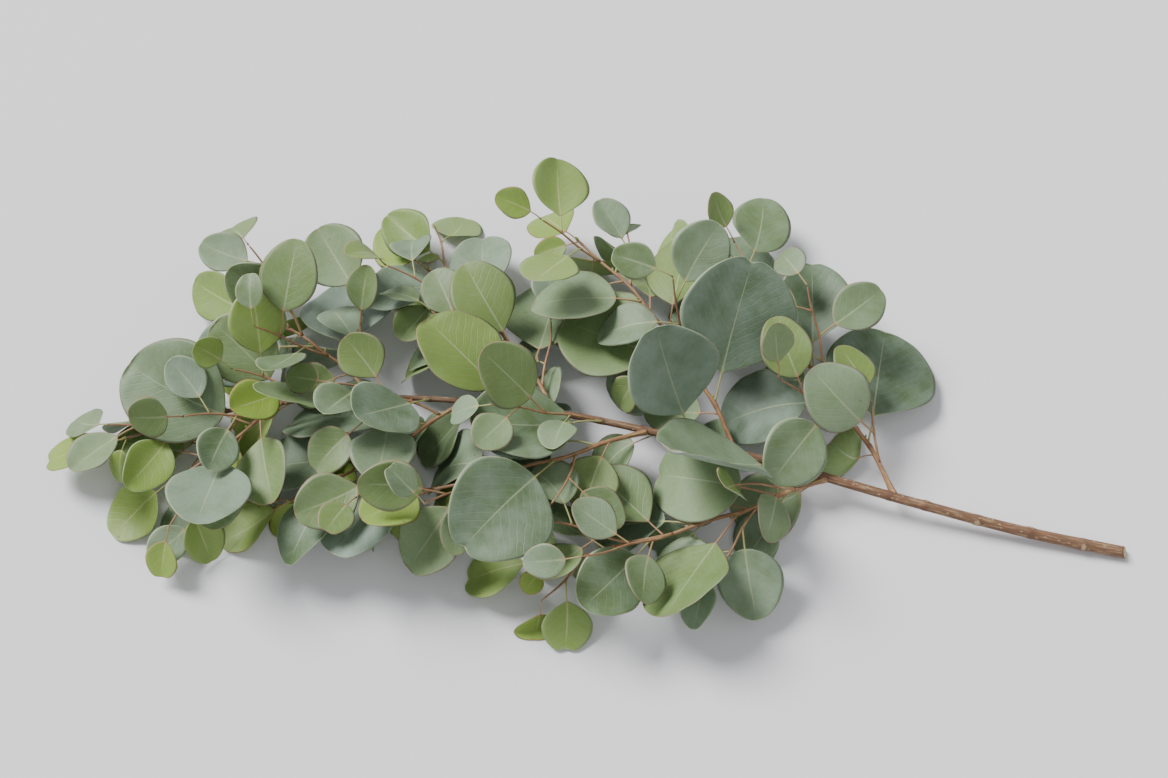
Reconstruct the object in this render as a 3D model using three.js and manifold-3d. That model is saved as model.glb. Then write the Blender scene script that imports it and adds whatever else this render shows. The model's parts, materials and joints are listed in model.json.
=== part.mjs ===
// A cut branch of silver dollar eucalyptus, as a florist sells it, lying on a table.
//
// One woody stem carries side shoots left and right, and stem and shoots carry round leaves, one at
// each joint, turn and turn about. Every leaf is a blade and its stalk in one piece. Each leaf, each
// shoot and the stem is a solid of its own.
//
// Units are millimetres and +Z is up. The branch rests on z = 0, its tip points along -X and its cut
// end along +X. The origin is under the middle of the branch.

import * as THREE from "three";
import { mergeVertices } from "three/addons/utils/BufferGeometryUtils.js";
import Module from "manifold-3d";

const { Group, Matrix4, Mesh, Quaternion, Vector3 } = THREE;
const { degToRad, lerp, seededRandom } = THREE.MathUtils;
const wasm = await Module();
wasm.setup();

// ------------------------------------------------------------------ driving dimensions

const CUT_RADIUS = 3.6; // the woody stem where the knife went through
const STEM_TIP_RADIUS = 0.9;
const CUT_SLANT = 0.55; // how far the cut leans along the stem, per millimetre across it
const SHOOT_TIP_RADIUS = 0.7;
const SHOOT_THICKENING = 0.0045; // extra radius at a shoot's foot, per millimetre of its length
const SHOOT_RETURN = 20; // degrees that a shoot bends back towards the stem's direction
const KINK = 7; // degrees that a shoot turns at each leaf, to and fro
const STALK_RADIUS = 0.65; // of a leaf stalk, all along
const STALK_LENGTH = 16; // of an average leaf stalk
const BLADE_HALF_THICKNESS = 0.32;
const LARGEST_BLADE = 66; // blade length at the foot of a shoot
const SMALLEST_BLADE = 38; // blade length at its tip
const GAP = 0.35; // between two pieces that meet
const CLEARANCE = 0.7; // between two pieces that don't
const TOUCH_DOWN = 6; // height over the table under which a drooping blade starts to lie along it
const MOST_PRESSED = 7; // how far the table may push a blade up
const YOUNG = 0.8; // the age over which a leaf is soft and yellow-green, from 0 at a shoot's foot to 1
const FIRST_JOINT = 1.15; // the first leaf's place on a shoot, in steps from leaf to leaf
const LAST_STEP = 1.3; // from the last leaf beside a shoot to the one on its end, in the same steps
const LEAN = [38, 62]; // degrees between a leaf's stalk and what it grows on
const END_LEAN = [0, 35]; // the same for a leaf on the very end
const DROOP = [-8, 34]; // degrees that a stalk bends down over its length
const ROLL = [-36, 36]; // degrees that it rolls
const ATTEMPTS = 240; // places tried for a leaf before giving up
const SMALLEST_FIT = 0.66; // what a leaf has shrunk to by the last attempt

// The stem, from the cut end to the last bud. It rises off the table, because its leaves hold it up.
const STEM_POINTS = [
  [306, -74, 3.9],
  [246, -62, 7.5],
  [182, -46, 13],
  [116, -28, 19],
  [48, -11, 25],
  [-22, 3, 30],
  [-92, 11, 32],
  [-160, 12, 31],
  [-222, 4, 28],
  [-274, -10, 24],
];

// The side shoots: where each leaves the stem as a share of its length, the side (1 is to the left of
// the way it grows), the angle from the stem, how steeply it rises and how much of that it loses over
// its length (degrees), its length, and how many leaves it carries.
const SHOOTS = [
  { at: 0.24, side: -1, spread: 46, rise: 14, droop: 20, length: 176, leaves: 6 },
  { at: 0.31, side: 1, spread: 48, rise: 8, droop: 14, length: 166, leaves: 6 },
  { at: 0.4, side: -1, spread: 50, rise: 28, droop: 30, length: 158, leaves: 6 },
  { at: 0.49, side: 1, spread: 47, rise: 24, droop: 30, length: 144, leaves: 5 },
  { at: 0.58, side: -1, spread: 52, rise: 0, droop: 14, length: 128, leaves: 5 },
  { at: 0.67, side: 1, spread: 50, rise: 4, droop: 16, length: 112, leaves: 5 },
  { at: 0.76, side: -1, spread: 47, rise: 22, droop: 30, length: 92, leaves: 4 },
  { at: 0.85, side: 1, spread: 46, rise: 12, droop: 24, length: 72, leaves: 4 },
];

// The stem's own leaves: where each sits, and the angle round the stem at which it leaves it, from
// 0 to the left over 90 straight up to 180 on the right.
const STEM_LEAVES = [
  { at: 0.35, round: 55 },
  { at: 0.44, round: 125 },
  { at: 0.53, round: 60 },
  { at: 0.62, round: 120 },
  { at: 0.7, round: 55 },
  { at: 0.78, round: 60 },
  { at: 0.84, round: 135 },
  { at: 0.9, round: 150 },
  { at: 0.95, round: 20 },
  { at: 1, round: 90 },
];

// ------------------------------------------------------------------ small helpers

const ALONG = new Vector3(1, 0, 0);
const ACROSS = new Vector3(0, 1, 0);
const UP = new Vector3(0, 0, 1);
const turn = (axis, degrees) => new Quaternion().setFromAxisAngle(axis, degToRad(degrees));

// A number from low to high that is always the same for the same seed.
const between = (low, high, seed) => lerp(low, high, seededRandom(seed));

// The turn that points +X along a direction and keeps +Z as near to straight up as that allows.
function aimed(direction) {
  const x = direction.clone().normalize();
  const y = new Vector3().crossVectors(UP, x).normalize();
  const basis = new Matrix4().makeBasis(x, y, new Vector3().crossVectors(x, y));
  return new Quaternion().setFromRotationMatrix(basis);
}

// The direction at an angle round an axis: 0 is to its left and 90 is up.
function sideways(along, degrees) {
  const left = new Vector3().crossVectors(UP, along).normalize();
  const over = new Vector3().crossVectors(along, left);
  return left.multiplyScalar(Math.cos(degToRad(degrees))).addScaledVector(over, Math.sin(degToRad(degrees)));
}

const middleOf = (ring) => ring.reduce((sum, p) => sum.add(p), new Vector3()).divideScalar(ring.length);

// A closed skin over rings of points, each ring counterclockwise about the way they follow each
// other, with a point to close each end. The slanting edges of a ring's second half mirror those of
// its first, so the two faces of a thin twisted blade stay side by side and never cross.
function skin(first, rings, last) {
  const sides = rings[0].length;
  const points = [first, ...rings.flat(), last];
  const at = (ring, side) => 1 + ring * sides + (side % sides);
  const triangles = [];
  for (let side = 0; side < sides; side++) {
    triangles.push(0, at(0, side + 1), at(0, side));
    for (let ring = 0; ring + 1 < rings.length; ring++) {
      const [a, b] = [at(ring, side), at(ring, side + 1)];
      const [c, d] = [at(ring + 1, side + 1), at(ring + 1, side)];
      if (side < sides / 2) triangles.push(a, b, d, b, c, d);
      else triangles.push(a, b, c, a, c, d);
    }
    triangles.push(points.length - 1, at(rings.length - 1, side), at(rings.length - 1, side + 1));
  }
  const geometry = new THREE.BufferGeometry().setFromPoints(points);
  geometry.setIndex(triangles);
  geometry.computeVertexNormals();
  return geometry;
}

// ------------------------------------------------------------------ wood: the stem and its shoots

// A tapering round rod along a curve. slant leans its first end.
function rod(curve, radiusAt, sides, steps, slant = 0) {
  const { tangents, normals, binormals } = curve.computeFrenetFrames(steps, false);
  const rings = tangents.map((along, i) => {
    const centre = curve.getPointAt(i / steps);
    return Array.from({ length: sides }, (_, side) => {
      const angle = (side / sides) * 2 * Math.PI;
      const out = normals[i].clone().multiplyScalar(Math.cos(angle));
      out.addScaledVector(binormals[i], Math.sin(angle)).multiplyScalar(radiusAt(i / steps));
      const lean = i === 0 ? slant * (out.z + CUT_RADIUS) : 0;
      return centre.clone().add(out).addScaledVector(along, lean);
    });
  });
  return skin(middleOf(rings[0]), rings, middleOf(rings[steps]));
}

// A shoot's line, from its foot: it starts at its own angle, bends back towards the way the stem
// grows, sags, and kinks a little at each leaf.
function shootCurve(start, { length, leaves, side, droop }) {
  const steps = leaves + 1;
  const heading = start.clone();
  const point = new Vector3();
  const points = [point.clone()];
  for (let step = 0; step < steps; step++) {
    heading.applyQuaternion(turn(UP, (-side * SHOOT_RETURN) / steps + (step % 2 ? KINK : -KINK)));
    const level = new Vector3().crossVectors(UP, heading).normalize();
    heading.applyQuaternion(turn(level, droop / steps));
    point.addScaledVector(heading, length / steps);
    points.push(point.clone());
  }
  return new THREE.CatmullRomCurve3(points, false, "centripetal");
}

// ------------------------------------------------------------------ leaves

const LEAF_SIDES = 8;
const STALK_STEPS = 4;
const BLADE_STEPS = 9;

// How far along the blade each of its rings is: they crowd towards both ends, where the outline turns
// quickest. The last one stops just short of the tip.
const bladeShare = (step) => (1 - Math.cos((Math.PI * step) / (BLADE_STEPS + 0.5))) / 2;

// Half the blade's width over half its greatest, at a share t of its length. foot and head say how
// sharp its two ends are, where 0.5 is nearly an ellipse's end; broadest under 1 brings the widest
// place nearer the stalk.
const outline = (t, { foot, head, broadest }) => Math.sin(Math.PI * t ** broadest) ** lerp(foot, head, t);

// The height of a point of a blade once the table holds it up: nothing changes well above the table,
// and what would be under it ends just over it.
function laidDown(z) {
  const lowest = BLADE_HALF_THICKNESS + 0.1;
  const start = lowest + TOUCH_DOWN;
  return z > start ? z : lowest + TOUCH_DOWN * Math.exp((z - start) / TOUCH_DOWN);
}

// One leaf from its stalk's foot, along +X with its upper side to +Z. Its middle line is walked a step
// at a time. The stalk droops and rolls, in degrees over its length. The blade bends over (arch),
// sideways (sweep) and round itself (twist), in degrees over its own. It is a shallow trough, hollow
// on its upper side, and lies along the table where it would pass through it. place takes the leaf's
// points to the branch, where the table is z = 0. userData.pressed says how far the table pushed it.
function leafGeometry(leaf, place) {
  const { stalk, droop, roll, length, width, arch, sweep, twist, trough, lopsided } = leaf;
  const back = place.clone().invert();
  const heading = new Quaternion();
  const centre = new Vector3();
  const rings = [];
  let walked = 0;
  let pressed = 0;
  for (let step = 0; step <= STALK_STEPS + BLADE_STEPS; step++) {
    const inBlade = step > STALK_STEPS;
    const share = inBlade ? bladeShare(step - STALK_STEPS) : 0;
    const reach = inBlade ? stalk + share * length : (step / STALK_STEPS) * stalk;
    const part = (reach - walked) / (inBlade ? length : stalk);
    heading.multiply(turn(ACROSS, (inBlade ? arch : droop) * part));
    heading.multiply(turn(UP, inBlade ? sweep * part : 0));
    heading.multiply(turn(ALONG, (inBlade ? twist : roll) * part));
    centre.add(new Vector3(reach - walked, 0, 0).applyQuaternion(heading));
    walked = reach;

    const half = Math.max(STALK_RADIUS, inBlade ? (width / 2) * outline(share, leaf) : 0);
    const thick = lerp(STALK_RADIUS, BLADE_HALF_THICKNESS, Math.min(1, share * 4));
    const ring = Array.from({ length: LEAF_SIDES }, (_, side) => {
      const angle = (side / LEAF_SIDES) * 2 * Math.PI;
      const across = half * Math.cos(angle) * (1 + (inBlade ? lopsided * Math.sign(Math.cos(angle)) : 0));
      const hollow = inBlade ? trough * Math.abs(across) : 0;
      const point = new Vector3(0, across, hollow).applyQuaternion(heading).add(centre).applyMatrix4(place);
      pressed = Math.max(pressed, -point.z);
      point.z = laidDown(point.z);
      const over = new Vector3(0, 0, thick * Math.sin(angle)).applyQuaternion(heading);
      return point.applyMatrix4(back).add(over);
    });
    rings.push(ring);
  }
  const tip = middleOf(rings.at(-1)).add(new Vector3(0.01 * length, 0, 0).applyQuaternion(heading));
  const geometry = skin(new Vector3(), rings, tip);
  geometry.userData.pressed = pressed;
  return geometry;
}

// A leaf's shape. age is 0 at the foot of its shoot and 1 at the tip: old leaves are large and round,
// young ones small and oval. Most blades are nearly flat along their length, and a few bend right over.
function leafShape(age, seed) {
  const length = lerp(LARGEST_BLADE, SMALLEST_BLADE, age ** 0.9) * between(0.9, 1.08, seed);
  return {
    length,
    width: length * lerp(1.02, 0.8, age) * between(0.88, 1.06, seed + 1),
    stalk: STALK_LENGTH * lerp(1.15, 0.8, age) * between(0.85, 1.2, seed + 2),
    foot: between(0.6, 0.95, seed + 3),
    head: between(0.4, 0.52, seed + 4),
    broadest: between(0.84, 1.04, seed + 5),
    arch: lerp(-14, 64, seededRandom(seed + 6) ** 1.7),
    sweep: between(-16, 16, seed + 7),
    twist: between(-26, 26, seed + 8),
    trough: between(0.05, 0.26, seed + 9),
    lopsided: between(-0.05, 0.05, seed + 10),
  };
}

// ------------------------------------------------------------------ materials

const bark = new THREE.MeshStandardMaterial({ color: 0x8c6a4b, roughness: 0.8, metalness: 0 });
const twigSkin = new THREE.MeshStandardMaterial({ color: 0xa87f56, roughness: 0.65, metalness: 0 });
const leafSkin = new THREE.MeshStandardMaterial({ color: 0x7d8f74, roughness: 0.6, metalness: 0 });
const youngLeafSkin = new THREE.MeshStandardMaterial({ color: 0x93a868, roughness: 0.5, metalness: 0 });

// ------------------------------------------------------------------ growing without collisions

const grown = []; // every finished piece as { solid, name }

// A mesh as a solid where it stands in the branch.
function solidOf(mesh) {
  mesh.updateWorldMatrix(true, false);
  const bare = mesh.geometry.clone().applyMatrix4(mesh.matrixWorld);
  bare.deleteAttribute("normal");
  const merged = mergeVertices(bare, 1e-4);
  const vertProperties = merged.attributes.position.array;
  return new wasm.Manifold(
    new wasm.Mesh({ numProp: 3, vertProperties, triVerts: new Uint32Array(merged.index.array) }),
  );
}

// Whether a solid keeps clear of every finished piece. It may come close to what it grows on.
function isClear(solid, parentName) {
  return grown.every(({ solid: other, name }) => {
    const wanted = name === parentName ? GAP * 0.8 : CLEARANCE;
    return other.minGap(solid, wanted) >= wanted;
  });
}

function keep(group, mesh, name) {
  mesh.name = name;
  group.add(mesh);
  grown.push({ solid: solidOf(mesh), name });
}

// One leaf on a host, the stem or a shoot, at a share of its length and at an angle round it. Leaves
// crowd, so a leaf that would run into its neighbours turns on its stalk, swings aside and in the end
// stays smaller, until it finds room.
function growLeaf(host, { name, at, round, age, seed }) {
  const { curve, radiusAt } = host;
  const along = curve.getTangentAt(at);
  const atTip = at === 1;
  const shape = leafShape(age, seed);
  const mesh = new Mesh(undefined, age > YOUNG ? youngLeafSkin : leafSkin);
  host.group.add(mesh);
  for (let attempt = 0; attempt < ATTEMPTS; attempt++) {
    const chance = (low, high, which) => between(low, high, seed + 20 + attempt * 4 + which);
    const away = degToRad(chance(...(atTip ? END_LEAN : LEAN), 0));
    const out = sideways(along, round + (attempt / 3) * chance(-1, 1, 1) + (atTip ? 10 * attempt : 0));
    mesh.position.copy(curve.getPointAt(at));
    if (atTip) mesh.position.addScaledVector(along, GAP);
    else mesh.position.addScaledVector(out, radiusAt(at) + GAP + STALK_RADIUS * Math.cos(away));
    const start = along.clone().multiplyScalar(Math.cos(away)).addScaledVector(out, Math.sin(away));
    mesh.quaternion.copy(aimed(start));
    mesh.updateWorldMatrix(true, false);

    const size = lerp(1, SMALLEST_FIT, attempt / ATTEMPTS);
    const tried = {
      ...shape,
      length: shape.length * size,
      width: shape.width * size,
      droop: chance(...DROOP, 2),
      roll: chance(...ROLL, 3),
    };
    mesh.geometry = leafGeometry(tried, mesh.matrixWorld);
    const solid = solidOf(mesh);
    if (mesh.geometry.userData.pressed < MOST_PRESSED && isClear(solid, host.name)) {
      mesh.name = name;
      grown.push({ solid, name });
      return;
    }
    solid.delete();
  }
  throw new Error(`${name} finds no room`);
}

// ------------------------------------------------------------------ the branch

const branch = new Group();

const stemCurve = new THREE.CatmullRomCurve3(
  STEM_POINTS.map((p) => new Vector3(...p)),
  false,
  "centripetal",
);
const stemRadius = (t) => lerp(CUT_RADIUS, STEM_TIP_RADIUS, t ** 0.85);
keep(branch, new Mesh(rod(stemCurve, stemRadius, 10, 26, CUT_SLANT), bark), "stem");

// The shoots, each in a group that stands where it leaves the stem.
const shoots = SHOOTS.map((shoot, i) => {
  const name = `shoot_${i + 1}`;
  const footRadius = SHOOT_TIP_RADIUS + SHOOT_THICKENING * shoot.length;
  const along = stemCurve.getTangentAt(shoot.at);
  const out = sideways(along, shoot.side > 0 ? shoot.rise : 180 - shoot.rise);
  const spread = degToRad(shoot.spread);
  const start = along.clone().multiplyScalar(Math.cos(spread)).addScaledVector(out, Math.sin(spread));
  const group = new Group();
  group.position.copy(stemCurve.getPointAt(shoot.at));
  group.position.addScaledVector(out, stemRadius(shoot.at) + GAP + footRadius * Math.cos(spread));
  branch.add(group);
  const curve = shootCurve(start, shoot);
  const radiusAt = (t) => lerp(footRadius, SHOOT_TIP_RADIUS, t);
  keep(group, new Mesh(rod(curve, radiusAt, 7, 2 * (shoot.leaves + 1)), twigSkin), name);
  return { group, curve, radiusAt, name, number: i + 1, leaves: shoot.leaves };
});

// The leaves grow where there is room, so those with the least choice come first: the last leaf of
// each shoot, on its very end, then the stem's own, then the shoots' others, left and right by turns.
const SEED_STEP = 1000; // every leaf draws its numbers from its own thousand
const STEM_SEED = 77000;
const SHOOT_SEED = 10000;

function growShootLeaf(shoot, i) {
  const atTip = i === shoot.leaves - 1;
  const seed = shoot.number * SHOOT_SEED + i * SEED_STEP;
  const upwards = between(-15, 40, seed + 15);
  growLeaf(shoot, {
    name: `leaf_${shoot.number}_${i + 1}`,
    at: atTip ? 1 : (i + FIRST_JOINT) / (shoot.leaves - 2 + FIRST_JOINT + LAST_STEP),
    round: i % 2 ? upwards : 180 - upwards,
    age: (i / (shoot.leaves - 1)) * 0.85 + shoot.number * 0.015,
    seed,
  });
}

shoots.forEach((shoot) => growShootLeaf(shoot, shoot.leaves - 1));

const stem = { group: branch, curve: stemCurve, radiusAt: stemRadius, name: "stem" };
STEM_LEAVES.forEach(({ at, round }, i) => {
  const lowest = STEM_LEAVES[0].at;
  const age = (at - lowest) / (1 - lowest);
  growLeaf(stem, { name: `leaf_stem_${i + 1}`, at, round, age, seed: STEM_SEED + i * SEED_STEP });
});

for (const shoot of shoots) {
  for (let i = 0; i < shoot.leaves - 1; i++) growShootLeaf(shoot, i);
}

// The origin goes under the middle of the branch, on the table.
const box = new THREE.Box3().setFromObject(branch, true);
const middle = box.getCenter(new Vector3());
branch.position.set(-middle.x, -middle.y, -box.min.z);

const part = new Group();
part.add(branch);

export default part;
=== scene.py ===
# %% [markdown]
# # A cut branch of silver dollar eucalyptus
#
# A florist's branch: a woody stem, thin side shoots that fork left and right of it, and round,
# grey-green leaves on long stalks. It lies on a pale table and the camera looks down on it.
#
# A CAD model already says where every stem, shoot and leaf is. This lesson reads those plain solids,
# grows a finer one over each of them, adds the smallest twigs and leaves, and paints everything with
# node materials.

# %% Load the frame
import json
import math
import random
from types import SimpleNamespace

import bmesh
import bpy
import numpy as np
from mathutils import Matrix, Quaternion, Vector
from mathutils.bvhtree import BVHTree


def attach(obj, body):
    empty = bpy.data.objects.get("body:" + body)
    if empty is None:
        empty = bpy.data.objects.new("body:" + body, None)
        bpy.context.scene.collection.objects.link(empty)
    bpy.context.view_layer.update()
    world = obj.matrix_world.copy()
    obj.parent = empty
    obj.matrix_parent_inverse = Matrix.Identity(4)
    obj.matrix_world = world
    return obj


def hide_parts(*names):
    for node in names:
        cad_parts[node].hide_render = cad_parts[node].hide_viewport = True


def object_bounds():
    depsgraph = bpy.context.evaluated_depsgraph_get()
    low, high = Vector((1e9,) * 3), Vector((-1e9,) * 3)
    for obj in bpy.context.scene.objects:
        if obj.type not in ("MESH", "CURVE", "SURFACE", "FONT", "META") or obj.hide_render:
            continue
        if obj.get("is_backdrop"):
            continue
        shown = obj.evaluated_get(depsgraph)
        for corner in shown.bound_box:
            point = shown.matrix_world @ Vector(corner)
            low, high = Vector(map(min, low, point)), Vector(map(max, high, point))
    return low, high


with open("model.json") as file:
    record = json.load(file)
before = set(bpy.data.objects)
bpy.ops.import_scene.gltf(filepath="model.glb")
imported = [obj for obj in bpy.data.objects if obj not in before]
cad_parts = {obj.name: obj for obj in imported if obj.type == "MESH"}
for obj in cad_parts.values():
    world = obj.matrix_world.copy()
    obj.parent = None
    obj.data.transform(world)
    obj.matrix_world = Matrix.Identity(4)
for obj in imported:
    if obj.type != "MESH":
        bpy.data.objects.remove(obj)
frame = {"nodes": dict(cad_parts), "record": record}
cad_low, cad_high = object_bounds()
MM = 0.001
slot_of = {part["node"]: part["material_slot"] for part in frame["record"]["subparts"]}
print("solids:", len(slot_of), "box in mm:", [round(side / MM) for side in cad_high - cad_low])

# %% [markdown]
# ## Reading the plain solids
#
# Each solid is a skin over rings of points, closed by one point at each end. Only those two points
# have as many edges as a ring has points, so they are easy to find, and from there the rings follow
# one after another. The rings are all that a finer shape needs: a rod's give its centre line and its
# thickness, and a leaf's give its middle line and how it bends across.


# %% The rings of a solid
def rings_of(name, wide_foot):
    """A solid's rings, foot first, as an array of rings, points and xyz, and the point at its tip."""
    shape = bmesh.new()
    shape.from_mesh(frame["nodes"][name].data)
    bmesh.ops.remove_doubles(shape, verts=shape.verts, dist=0.01 * MM)
    shape.verts.index_update()

    def near(v):
        return sorted((edge.other_vert(v) for edge in v.link_edges), key=lambda other: other.index)

    def spread(v):
        return np.mean([edge.calc_length() for edge in v.link_edges])

    closing = sorted(shape.verts, key=lambda v: (len(v.link_edges), v.index))[-2:]
    foot = sorted(closing, key=spread)[-1 if wide_foot else 0]
    seen, level, rings = {foot}, near(foot), []
    while len(level) > 1:
        ring = level[:1]
        while len(ring) < len(level):
            ring.append(next(v for v in near(ring[-1]) if v in level and v not in ring))
        seen.update(ring)
        level = sorted({o for v in ring for o in near(v) if o not in seen}, key=lambda v: v.index)
        points = np.array([v.co for v in ring])
        around = points - points.mean(axis=0)
        growth = np.mean([v.co for v in level], axis=0) - points.mean(axis=0)
        if np.cross(around, np.roll(around, -1, axis=0)).sum(axis=0) @ growth < 0:
            points, around = points[::-1], around[::-1]
        if rings:
            before = rings[-1] - rings[-1].mean(axis=0)
            match = [(np.roll(around, -k, axis=0) * before).sum() for k in range(len(points))]
            points = np.roll(points, -int(np.argmax(match)), axis=0)
        rings.append(points)
    tip = np.array(level[0].co)
    shape.free()
    return np.array(rings), tip


stem_rings, stem_end = rings_of("stem", wide_foot=True)
print("stem rings:", stem_rings.shape)

# %% [markdown]
# ## A smooth line through a few points
#
# The solids have few rings, and straight lines between them would show as corners. A natural cubic
# spline passes through every ring and bends as little as it can in between, as a thin twig does.


# %% Natural cubic spline
def smooth(knots, values, at):
    """Reads the smooth line through values, which stand at knots, at other places."""
    knots, at = np.asarray(knots, float), np.asarray(at, float)
    flat = np.asarray(values, float).reshape(len(knots), -1)
    gap = np.diff(knots)
    slope = np.diff(flat, axis=0) / gap[:, None]
    bend = np.zeros_like(flat)
    system = np.diag(2 * (gap[:-1] + gap[1:])) + np.diag(gap[1:-1], 1) + np.diag(gap[1:-1], -1)
    bend[1:-1] = np.linalg.solve(system, 6 * np.diff(slope, axis=0))
    i = np.clip(np.searchsorted(knots, at, side="right") - 1, 0, len(gap) - 1)
    h = gap[i][:, None]
    before, after = (at - knots[i])[:, None], (knots[i + 1] - at)[:, None]
    read = (bend[i] * after**3 + bend[i + 1] * before**3) / (6 * h)
    read += (flat[i] / h - bend[i] * h / 6) * after + (flat[i + 1] / h - bend[i + 1] * h / 6) * before
    return read.reshape(len(at), *np.shape(values)[1:])


def distance_along(points):
    """How far along a line each of its points is."""
    steps = np.linalg.norm(np.diff(points, axis=0), axis=1)
    return np.concatenate([[0], np.cumsum(steps)])


def unit(vectors):
    """Vectors made one long."""
    return vectors / np.maximum(np.linalg.norm(vectors, axis=-1, keepdims=True), 1e-12)


def ease(low, high, x):
    """0 below low, 1 above high, and a soft step between them."""
    t = np.clip((np.asarray(x, float) - low) / (high - low), 0, 1)
    return t * t * (3 - 2 * t)


print("stem length in mm:", round(distance_along(stem_rings.mean(axis=1))[-1] / MM))

# %% [markdown]
# ## Marks on the points
#
# A leaf's veins follow the leaf, not the room, so every point keeps its place on its own leaf or twig
# in millimetres. A material reads those places as attributes. A shape is kept as plain arrays first,
# because many small leaves are joined into one piece.


# %% Shapes, and pieces made from them
MARKS = {"place": 3, "kind": 3, "side": 1}


def quads(rows, around):
    """The four-sided faces between closed rings of points that follow one after another."""
    faces = []
    for i in range(rows - 1):
        for k in range(around):
            here, beside = i * around + k, i * around + (k + 1) % around
            faces.append([here, beside, beside + around, here + around])
    return faces


def joined(shapes):
    """Several shapes as one."""
    points, faces, first = [], [], 0
    for shape in shapes:
        points.append(shape["points"])
        faces += [[first + i for i in face] for face in shape["faces"]]
        first += len(shape["points"])
    whole = {"points": np.concatenate(points), "faces": faces}
    for mark in MARKS:
        whole[mark] = np.concatenate([shape[mark] for shape in shapes])
    return whole


def make_piece(name, shape, material, slot, *nodes):
    """A shape as a piece that rides on the branch and stands for the named solids."""
    mesh = bpy.data.meshes.new(name)
    mesh.from_pydata(shape["points"].tolist(), [], shape["faces"])
    for mark, width in MARKS.items():
        kind, field = ("FLOAT_VECTOR", "vector") if width == 3 else ("FLOAT", "value")
        values = np.asarray(shape[mark], np.float32).ravel()
        mesh.attributes.new(mark, kind, "POINT").data.foreach_set(field, values)
    mesh.shade_smooth()
    mesh.materials.append(material)
    piece = bpy.data.objects.new(name, mesh)
    bpy.context.scene.collection.objects.link(piece)
    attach(piece, "root")
    if nodes:
        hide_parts(*nodes)
    return piece


print("marks on each point:", list(MARKS))

# %% [markdown]
# ## Colours and nodes
#
# Colours are written as sRGB hex, as a colour picker gives them, and the shader wants linear light.
# One function turns one into the other, and one more adds a node with its settings and links.


# %% Colours and nodes
def linear(hex_colour):
    """An sRGB hex colour as the linear colour that a shader takes."""
    parts = [int(hex_colour[i : i + 2], 16) / 255 for i in (1, 3, 5)]
    return [c / 12.92 if c <= 0.04045 else ((c + 0.055) / 1.055) ** 2.4 for c in parts] + [1.0]


def add(tree, kind, settings=None, links=None, out=None):
    """Adds a node and gives one of its outputs.

    links sets inputs to values or outputs, by name, or one after another when it is a list."""
    node = tree.nodes.new("ShaderNode" + kind)
    for name, value in (settings or {}).items():
        setattr(node, name, value)
    if isinstance(links, list):
        links = dict(enumerate(links))
    for name, value in (links or {}).items():
        shown = [socket for socket in node.inputs if socket.enabled]
        socket = shown[name] if isinstance(name, int) else next(s for s in shown if s.name == name)
        if isinstance(value, bpy.types.NodeSocket):
            tree.links.new(value, socket)
        else:
            socket.default_value = value
    shown = [socket for socket in node.outputs if socket.enabled]
    return next((s for s in shown if s.name == out), shown[0]) if shown else node


def new_material(name):
    """An empty node material and its tree."""
    material = bpy.data.materials.new(name)
    material.use_nodes = True
    material.node_tree.nodes.clear()
    return material, material.node_tree


print("sage in linear light:", [round(c, 3) for c in linear("#7B897C")[:3]])

# %% [markdown]
# ## Leaf skin: a leathery blade with a waxy bloom
#
# A eucalyptus leaf is thick and leathery. Its green shows through a thin bloom of wax, which makes it
# greyish blue and satin, and the wax is rubbed or thin in places, so the green comes and goes. A pale
# rib runs up the middle. Side veins leave it at about 49 degrees, 5 to 6 mm apart, bend towards the
# tip and end in a thin vein 2 mm inside the margin. Between them lies a net of cells about 2 mm wide.
# The margin is a fine pale line, pinkish on some leaves. The underside has more wax and is paler, and
# its rib stands out. Light passes through the blade and comes out yellow-green.
#
# The veins are worked out from the place on the leaf: `across` and `along` in millimetres. The real
# side veins are 0.2 mm wide. Here they are 0.5 mm, because finer ones don't show.


# %% Sums and layers
PLUS, MINUS, TIMES = {"operation": "ADD"}, {"operation": "SUBTRACT"}, {"operation": "MULTIPLY"}
OVER, TIMES_PLUS, POWER = {"operation": "DIVIDE"}, {"operation": "MULTIPLY_ADD"}, {"operation": "POWER"}
LARGER, UNSIGNED, PAST = {"operation": "MAXIMUM"}, {"operation": "ABSOLUTE"}, {"operation": "GREATER_THAN"}
FRACTION, SINE = {"operation": "FRACT"}, {"operation": "SINE"}
SOFT_STEP = {"interpolation_type": "SMOOTHSTEP"}  # limits a, b, then 1, 0: the result is 1 at a and 0 at b
LAYER = {"data_type": "RGBA", "blend_type": "MIX"}


def painted(tree, colour, *layers):
    """A colour with layers over it. A layer is its pattern, its strength and its own colour."""
    for pattern, strength, paint in layers:
        amount = add(tree, "Math", TIMES, [pattern, strength])
        colour = add(tree, "Mix", LAYER, [amount, colour, paint])
    return colour


print("a layer of colour is a Mix node with", LAYER)

# %% [markdown]
# The three marks on each point are taken apart once. The leaf's own tone also shifts the place at which
# patterns are read, because two leaves with the same clouds in the same place would look like copies.

# %% Where a point is on its leaf
LEAVES_APART = 977.0  # mm between the patterns of the darkest and the palest leaf


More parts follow.
